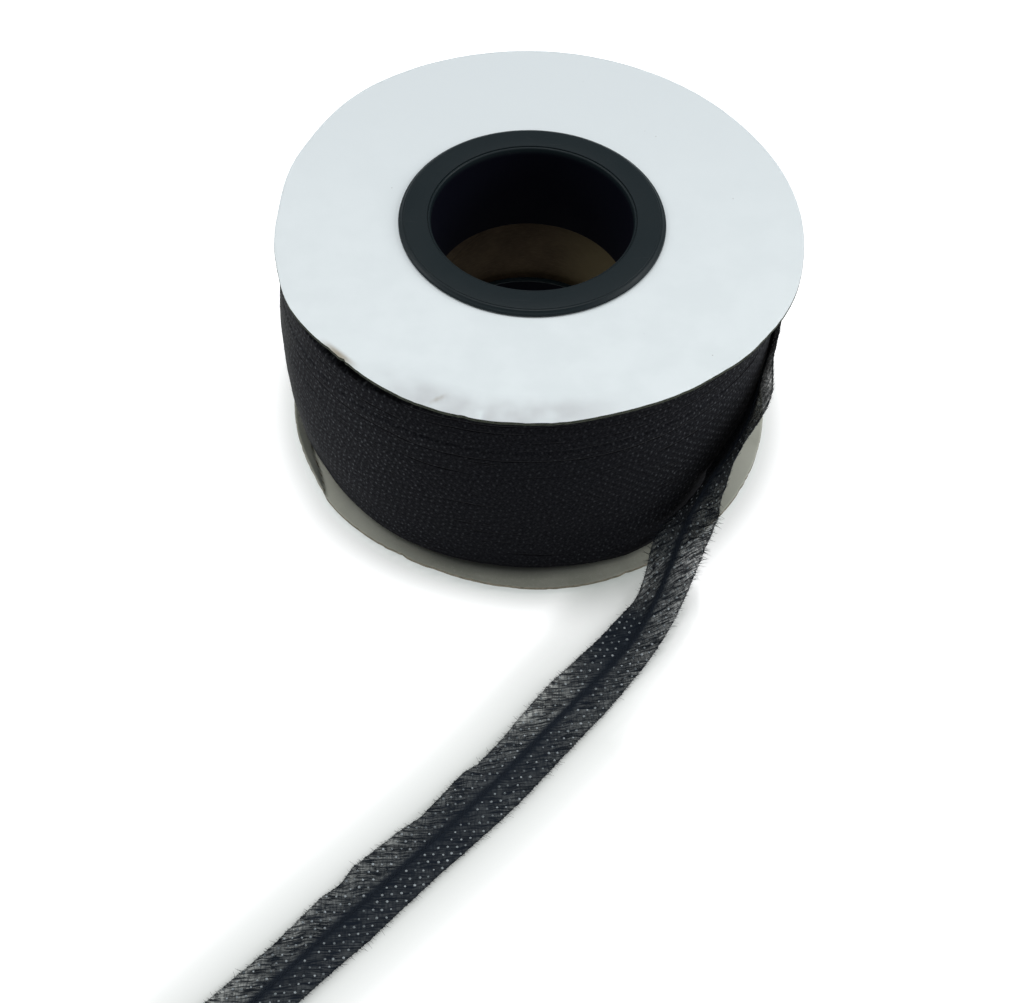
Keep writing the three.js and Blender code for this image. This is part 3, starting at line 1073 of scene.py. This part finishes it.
def sheer_gauze():
    """Semi-sheer black gauze: fine threads on the bias, drawn into ribs and parted where it is slack, with
    painted light and painted shade.
    """
    made, tree, shader = new_material("sheer_gauze", (0.01, 0.013, 0.018), 0.85, 0.1)
    tape = put(tree, "UVMap", {}, uv_map="tape").outputs["UV"]
    wander = put(tree, "TexNoise", {"Vector": tape, "Scale": 0.2, "Detail": 1.0}).outputs["Color"]
    wander = vectors(tree, "SUBTRACT", wander, (0.5, 0.5, 0.5))
    wander = put(tree, "VectorMath", {0: wander, "Scale": 1.3}, operation="SCALE").outputs["Vector"]
    bias = slanted(tree, vectors(tree, "ADD", tape, wander), BIAS)
    open_here = painted(tree, "sheer")
    painted_shade = painted(tree, "painted_shade")
    off_middle = sums(tree, "ABSOLUTE", one_axis(tree, tape, "X"))
    uneven = times(tree, stretched(tree, tape, (0.6, 0.22)), 1.1)
    middle = eased(tree, plus(tree, off_middle, uneven), 0.3, 1.05, 0.9, 0.0)
    wide = sums(tree, "ABSOLUTE", minus(tree, stretched(tree, bias, (0.055, 0.8), 1.0), 0.5))
    narrow = sums(tree, "ABSOLUTE", minus(tree, stretched(tree, bias, (0.13, 1.7), 1.0), 0.5))
    rib = larger(tree, eased(tree, wide, 0.003, 0.024, 0.78, 0.0),
                 eased(tree, narrow, 0.004, 0.026, 0.55, 0.0))
    rib = times(tree, rib, eased(tree, open_here, 0.05, 0.7, 0.25, 1.0))
    fine = eased(tree, stretched(tree, bias, (0.3, 3.2), 3.0), 0.36, 0.62)
    cross = eased(tree, stretched(tree, bias, (2.9, 0.5), 3.0), 0.34, 0.6)
    parted = times(tree, fine, plus(tree, 0.4, times(tree, cross, 0.7)))
    shut = larger(tree, middle, rib)
    slack = times(tree, open_here, minus(tree, 1.0, shut))
    gap = times(tree, slack, plus(tree, 0.15, times(tree, parted, 0.52)))
    tree.links.new(minus(tree, 0.99, gap), shader.inputs["Alpha"])
    colour = mixed(tree, parted, (0.0075, 0.0115, 0.0185), (0.0165, 0.0225, 0.0315))
    # Painted light: where it is slack and parted, the threads are painted pale.
    colour = mixed(tree, times(tree, slack, parted), colour, (0.2, 0.215, 0.215))
    colour = mixed(tree, rib, colour, (0.004, 0.006, 0.01))
    colour = mixed(tree, middle, colour, (0.022, 0.03, 0.041))
    wound = painted(tree, "wound")
    dots = glue_rows(tree, mapped(tree, tape, Scale=(1.0, -1.0, 1.0)), 0.0, 0.0)
    grain = bias_grain(tree, bias)
    # Painted light on the wound part, brighter towards the winding's flanks.
    side = one_axis(tree, object_place(tree), "X")
    tight = wound_colour(tree, grain, eased(tree, side, 18.0 * MM, 53.0 * MM), dots)
    colour = mixed(tree, wound, colour, tight)
    # Painted shade: the left half is painted nearly black where it hangs beside the winding.
    colour = mixed(tree, times(tree, painted_shade, 0.85), colour, (0.001, 0.0015, 0.003))
    tree.links.new(colour, shader.inputs["Base Color"])
    bumped(tree, shader, plus(tree, parted, times(tree, rib, 0.8)), 0.12 * MM)
    dulled = minus(tree, 0.1, times(tree, painted_shade, 0.09))
    tree.links.new(dulled, shader.inputs["Specular IOR Level"])
    shader.inputs["Sheen Weight"].default_value = 0.02
    shader.inputs["Sheen Roughness"].default_value = 0.4
    return made


loose_end = fitted("loose_end", sheet_shape, [sheer_gauze()], "black_gauze", "tape_tail", sharp=180)
thicken = loose_end.modifiers.new("thickness", "SOLIDIFY")
thicken.thickness = TAPE_THICK * MM
thicken.offset = 0.0


# ---- Floor -----------------------------------------------------------------------------------------------
# A white floor under the spool, which glows so that it comes out white. A shade is painted on it for a
# finger's width round the lower disc and the lying tape.
FLOOR_PATCH = 0.13
DISC_SHADE_WIDTH = 10.0
# The painted shade beside the tape: (distance from its edge in millimetres, depth).
TAPE_SHADE = [(0, 0.64), (0.7, 0.57), (1.5, 0.5), (3, 0.455), (5, 0.41), (7, 0.37), (9, 0.3), (13, 0.0)]
# How far along the tape it first lies on the floor, and from where it lies flat.
LANDS_AT = 112.0
FLAT_FROM = 145.0
floor_shape = bmesh.new()
bmesh.ops.create_grid(floor_shape, x_segments=170, y_segments=170, size=FLOOR_PATCH)
shade_layer = floor_shape.verts.layers.float.new("shade")
lying_along = np.arange(LANDS_AT, TAIL_LENGTH, 2.0)
lying = np.array([tape_frame(along)[0][:2] for along in lying_along])


def floor_shade(place):
    """How deep the painted shade is on the floor near the lower disc and the tape, at a place in
    millimetres from the axis.
    """
    radius, bearing = polar(place)
    from_disc = max(0.0, radius - lower_rim(bearing) / MM)
    by_disc = 0.5 * max(0.0, 1 - from_disc / DISC_SHADE_WIDTH) ** 1.6
    distances = np.hypot(lying[:, 0] - place.x, lying[:, 1] - place.y)
    nearest = int(np.argmin(distances))
    from_tape = max(0.0, float(distances[nearest]) - (HALF_WIDTH - 0.5))
    if place.x > lying[nearest][0]:
        from_tape *= float(np.interp(lying_along[nearest], [LANDS_AT, FLAT_FROM], [3.0, 1.0]))
    by_tape = float(read_off(TAPE_SHADE, from_tape))
    by_tape *= float(np.interp(lying_along[nearest], [LANDS_AT, FLAT_FROM], [0.75, 1.0]))
    return 1 - (1 - by_disc) * (1 - by_tape)


for vertex in floor_shape.verts:
    if max(abs(vertex.co.x), abs(vertex.co.y)) > FLOOR_PATCH * 0.999:
        vertex.co *= 3.0 / FLOOR_PATCH
    else:
        vertex[shade_layer] = floor_shade((vertex.co - AXIS) / MM)


def floor_white():
    """White paint that glows, with the painted shade mixed into its colour and its glow."""
    white = (0.93, 0.94, 0.94)
    deepest = (0.0, 0.02, 0.0)
    made, tree, shader = new_material("floor_white", white, 0.9, 0.1)
    shade = painted(tree, "shade")
    tree.links.new(mixed(tree, shade, white, deepest), shader.inputs["Base Color"])
    tree.links.new(mixed(tree, shade, (1.0, 1.0, 1.0), deepest), shader.inputs["Emission Color"])
    # The floor glows though it is no lamp.
    shader.inputs["Emission Strength"].default_value = 0.66
    return made


floor_mesh = bpy.data.meshes.new("floor")
floor_shape.to_mesh(floor_mesh)
floor_shape.free()
floor_mesh.materials.append(floor_white())
floor = in_scene("floor", floor_mesh)


# ---- Stay stitch -----------------------------------------------------------------------------------------
# A chain stitch of black polyester thread down the middle of the tape, which keeps the bias from
# stretching. Two strands cross each other at every stitch.
STITCH_LENGTH = 2.1
STITCH_SIDE = 0.22
THREAD_RADIUS = 0.11


def strand(name, phase):
    """One strand of the stitch as a bmesh tube."""
    line = bpy.data.curves.new(name, "CURVE")
    line.dimensions = "3D"
    line.bevel_depth = THREAD_RADIUS * MM
    line.bevel_resolution = 1
    count = int(TAIL_LENGTH / STITCH_LENGTH * 8)
    spline = line.splines.new("POLY")
    spline.points.add(count - 1)
    for index in range(count):
        along = 1.0 + (TAIL_LENGTH - 2.0) * index / (count - 1)
        turn = 2 * math.pi * along / STITCH_LENGTH + phase
        drift = 0.12 * noise.noise(Vector((along * 0.12, 3.0, 0.0)))
        place = tape_point(drift + STITCH_SIDE * math.sin(turn), along, 0.14 + 0.07 * math.cos(turn))
        spline.points[index].co = (*place, 1.0)
    holder = in_scene(name, line)
    bpy.context.view_layer.update()
    mesh = bpy.data.meshes.new_from_object(holder.evaluated_get(bpy.context.evaluated_depsgraph_get()))
    shape = bmesh.new()
    shape.from_mesh(mesh)
    bpy.data.objects.remove(holder)
    return shape


def stitch_thread():
    """Black twisted thread."""
    made, tree, shader = new_material("stitch_thread", (0.006, 0.007, 0.011), 0.85, 0.04)
    ply = clouded(tree, object_place(tree), 5200.0)
    thread = mixed(tree, ply, (0.0105, 0.014, 0.02), (0.022, 0.028, 0.037))
    tree.links.new(thread, shader.inputs["Base Color"])
    return made


STITCH_THREAD = stitch_thread()
for number, phase in enumerate((0.0, math.pi), 1):
    stitch = strand(f"strand_{number}", phase)
    fitted(f"stay_stitch_{number}", stitch, [STITCH_THREAD], "black_gauze")


# ---- Glue dots -------------------------------------------------------------------------------------------
# Small domes of clear fusing glue, printed on the cloth in staggered rows along its threads before it was
# cut into tape. They show on the tape's inner face, which lies uppermost.
DOT_RADIUS = 0.29
DOT_HEIGHT = 0.08
# How far along the tape its left half is hidden, in millimetres.
LEFT_HIDDEN = 90


def glue():
    """Milky fusing glue, brighter on some dots than on others."""
    made, tree, shader = new_material("clear_glue", (0.25, 0.28, 0.3), 0.5, 0.3)
    cells = put(tree, "TexVoronoi", {"Vector": object_place(tree), "Scale": 700.0}).outputs["Color"]
    chance = put(tree, "SeparateColor", {"Color": cells}).outputs[0]
    milky = mixed(tree, chance, (0.078, 0.095, 0.105), (0.36, 0.4, 0.42))
    tree.links.new(milky, shader.inputs["Base Color"])
    return made


random.seed(5)
dots_shape = bmesh.new()
reach = int((TAIL_LENGTH + TAIL_WIDTH) / ROW_PITCH) + 2
for row in range(-reach, reach):
    for column in range(-reach, reach):
        with_threads = (column + 0.5 * (row % 2)) * DOT_PITCH + random.uniform(-0.14, 0.14)
        over_threads = row * ROW_PITCH + random.uniform(-0.14, 0.14)
        across = with_threads * math.cos(BIAS) + over_threads * math.sin(BIAS)
        along = over_threads * math.cos(BIAS) - with_threads * math.sin(BIAS)
        size = random.uniform(0.7, 1.1)
        left_out = random.random() < 0.08 or abs(across) < 0.9
        left_out = left_out or across < 0 and along < LEFT_HIDDEN
        if abs(across) > 5.7 or not 0.5 < along < TAIL_LENGTH - 0.5 or left_out:
            continue
        turn = tape_side(across, along)[1].to_track_quat("Z", "Y").to_matrix().to_4x4()
        stretch = Matrix.Diagonal((DOT_RADIUS * size * MM, DOT_RADIUS * size * MM, DOT_HEIGHT * MM, 1.0))
        place = Matrix.Translation(tape_point(across, along, TAPE_THICK / 2))
        bmesh.ops.create_icosphere(dots_shape, subdivisions=1, radius=1.0, matrix=place @ turn @ stretch)
fitted("glue_dots", dots_shape, [glue()], None, sharp=180)


# ---- Frayed edges ----------------------------------------------------------------------------------------
# The cut ends of the cloth's threads, which stand out along both edges of the tape. Each is a thin tapered
# hair, and most of them lie along the bias.
def add_hair(shape, start, way, root, tip):
    """A thin tapered fibre from a place along a way, with its radii at the root and the tip."""
    turn = way.to_track_quat("Z", "Y").to_matrix().to_4x4()
    bmesh.ops.create_cone(shape, segments=3, cap_ends=True, radius1=root, radius2=tip, depth=way.length,
                          matrix=Matrix.Translation(start + way / 2) @ turn)


# How far along the tape its left edge comes free, and the stretch over the rim with some longer threads.
LEFT_FREE = 96
OVER_RIM = (78, 108)

random.seed(9)
fray_shape = bmesh.new()
along = 0.4
while along < TAIL_LENGTH - 0.4:
    for side in (-1, 1):
        if side < 0 and along < LEFT_FREE:
            continue
        start = tape_point(side * random.uniform(5.4, 5.95), along)
        slant = BIAS + math.radians(random.gauss(0, 26))
        length = min(1.5, 0.1 + random.expovariate(3.4))
        thickness = 0.04 * MM
        if OVER_RIM[0] < along < OVER_RIM[1] and random.random() < 0.12:
            slant = math.radians(random.uniform(50, 110))
            length = random.uniform(0.6, 2.2)
            thickness = 0.07 * MM
        end = tape_point(
            side * (HALF_WIDTH + length * math.sin(slant)),
            min(max(along - side * length * math.cos(slant), 0.0), TAIL_LENGTH),
            random.gauss(0.05, 0.16),
        )
        add_hair(fray_shape, start, end - start, thickness, 0.015 * MM)
    along += random.uniform(0.04, 0.12)
fitted("frayed_threads", fray_shape, [STITCH_THREAD], "black_gauze", sharp=180)


# ---- Fuzz on the winding ---------------------------------------------------------------------------------
# Loose fibre ends of the gauze, which stand up all over the winding. They are thin tapered hairs, seen best
# at its outline.
FUZZ_HAIRS = 1500
random.seed(33)
fuzz_shape = bmesh.new()
for _ in range(FUZZ_HAIRS):
    bearing = random.uniform(-math.pi, math.pi)
    height = random.uniform(roll_low.z + 1.5 * MM, roll_high.z - 1.5 * MM)
    radius = float(read_off(ROLL_OUTLINE, height / MM)) * MM - 0.1 * MM
    radius = pressed_radius(radius, bearing, height)
    outward = ring_place(1.0, bearing)
    sideways = Vector((-math.sin(bearing), math.cos(bearing), 0.0))
    way = outward * random.uniform(0.1, 0.7) + sideways * random.uniform(-1, 1)
    way.z = random.gauss(0, 0.6)
    way = way.normalized() * random.uniform(0.4, 1.1) * MM
    start = AXIS + outward * radius + Vector((0, 0, height))
    add_hair(fuzz_shape, start, way, 0.03 * MM, 0.01 * MM)
fitted("winding_fuzz", fuzz_shape, [STITCH_THREAD], "black_gauze", sharp=180)


# ---- Upper disc ------------------------------------------------------------------------------------------
# The same board as the lower disc, with its white paper side up. The paper is crumpled at the front, and
# the rim is worn through to the fibres at the front left. Painted shade greys the crumples, with a painted
# highlight along one fold, and the cut edge is painted dark, a painted shade.
upper_rim = worn_rim("top_flange")
upper_disc_shape = board_disc("top_flange", 0.16 * MM)
WORN_BEARING = -133
CRUMPLED_BEARING = -97


def upper_nicks(bearing, _place):
    """How far the upper rim is worn away."""
    fine = 0.10 * max(0.0, rim_noise(bearing, 30, 5.5))
    worn = window(bearing, WORN_BEARING, 9) * (0.12 + 0.5 * abs(rim_noise(bearing, 60, 1.5)))
    chips = window(bearing, -101, 7) * 0.35 * max(0.0, rim_noise(bearing, 45, 2.5))
    fuller = 0.6 * window(bearing, -162, 22) + 0.3 * window(bearing, -41, 9)
    return (fine + worn + chips - fuller) * MM


def upper_dent(bearing, radius, share):
    """The crumples at the front of the upper disc, and the slight wave of its rim."""
    outer = max(0.0, (share - 0.55) / 0.45) ** 2
    crumpled = window(bearing, CRUMPLED_BEARING, 28) * max(0.0, (share - 0.72) / 0.28)
    place = ring_place(radius, bearing)
    folds = abs(noise.noise(place * 210)) - 0.25 + 0.5 * noise.noise(place * 90 + Vector((4, 0, 0)))
    return (0.10 * rim_noise(bearing, 2.0, 6.0) * outer + 0.4 * folds * crumpled) * MM


shape_board(upper_disc_shape, upper_rim, upper_nicks, upper_dent)
face_board(upper_disc_shape, 0, 1, 2)
crumple_shade_layer = upper_disc_shape.verts.layers.float.new("crumple_shade")
stain_layer = upper_disc_shape.verts.layers.float.new("stain")
for vertex in upper_disc_shape.verts:
    place = vertex.co - AXIS
    radius, bearing = polar(place)
    reach = radius / MM
    # Painted shade on the crumpled paper at the front, left out along one fold as a painted highlight.
    band = min(1.0, 1.5 * window(bearing, CRUMPLED_BEARING, 33)) * clipped((reach - 46.3) / 3.0)
    fold_highlight = window(bearing, -99.2, 1.2) * clipped((reach - 50.0) / 1.0)
    vertex[crumple_shade_layer] = band * (1 - fold_highlight)
    off_mark = abs(reach - 50.2 + 1.1 * (math.degrees(bearing) + 108.5))
    mark = window(bearing, -108.5, 1.6) * max(0.0, 1 - off_mark)
    at_rim = clipped((reach - upper_rim(bearing) / MM + 1.6) / 0.8)
    worn = window(bearing, WORN_BEARING, 6.5) * at_rim
    vertex[stain_layer] = max(0.5 * mark, 0.85 * worn)
# The cut edge is the board's edge painted much darker, a painted shade.
shaded_board_edge = board_edge("shaded_board_edge", (0.018, 0.022, 0.016), (0.06, 0.065, 0.05))
fitted("upper_disc", upper_disc_shape, [WHITE_PAPER, GREY_CHIPBOARD, shaded_board_edge], "white_board",
       "top_flange")


# ---- Upper bushing ---------------------------------------------------------------------------------------
# The same black plastic moulding as the lower one, turned over and with a longer sleeve. It is pushed into
# the upper end of the paper tube until its collar meets the white disc.
bushing("upper_collar", "top_bushing", collar_high.z, -1, collar_low.z)
